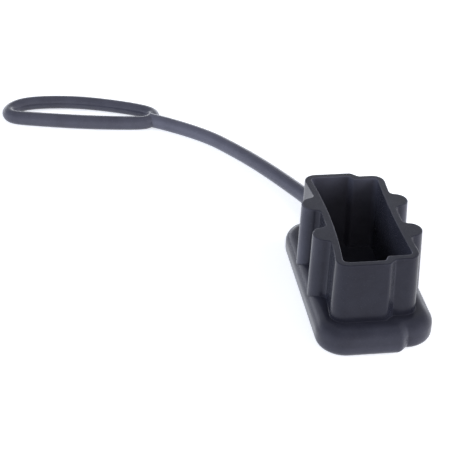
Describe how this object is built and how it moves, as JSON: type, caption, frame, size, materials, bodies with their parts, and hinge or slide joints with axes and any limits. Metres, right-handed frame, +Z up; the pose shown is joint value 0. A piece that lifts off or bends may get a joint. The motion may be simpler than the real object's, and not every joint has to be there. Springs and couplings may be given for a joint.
{
  "type": "connector dust cap",
  "caption": "One-piece rubber dust cap: a ribbed, stepped cup on a rounded flange that pushes over a two-pole battery connector, with a round tether ending in an oval cable loop.",
  "frame": {"origin": "centre of the flange's underside, under the middle of the cup", "axes": "+Z up, out of the cup's mouth; Y along the cup, +Y towards the tether's root; +X to the shorter lobe"},
  "size_m": [0.0951, 0.1332, 0.0213],
  "materials": {
    "rubber": "matte moulded"
  },
  "bodies": {
    "root": {"dust_cap": "rubber"}
  },
  "joints": []
}
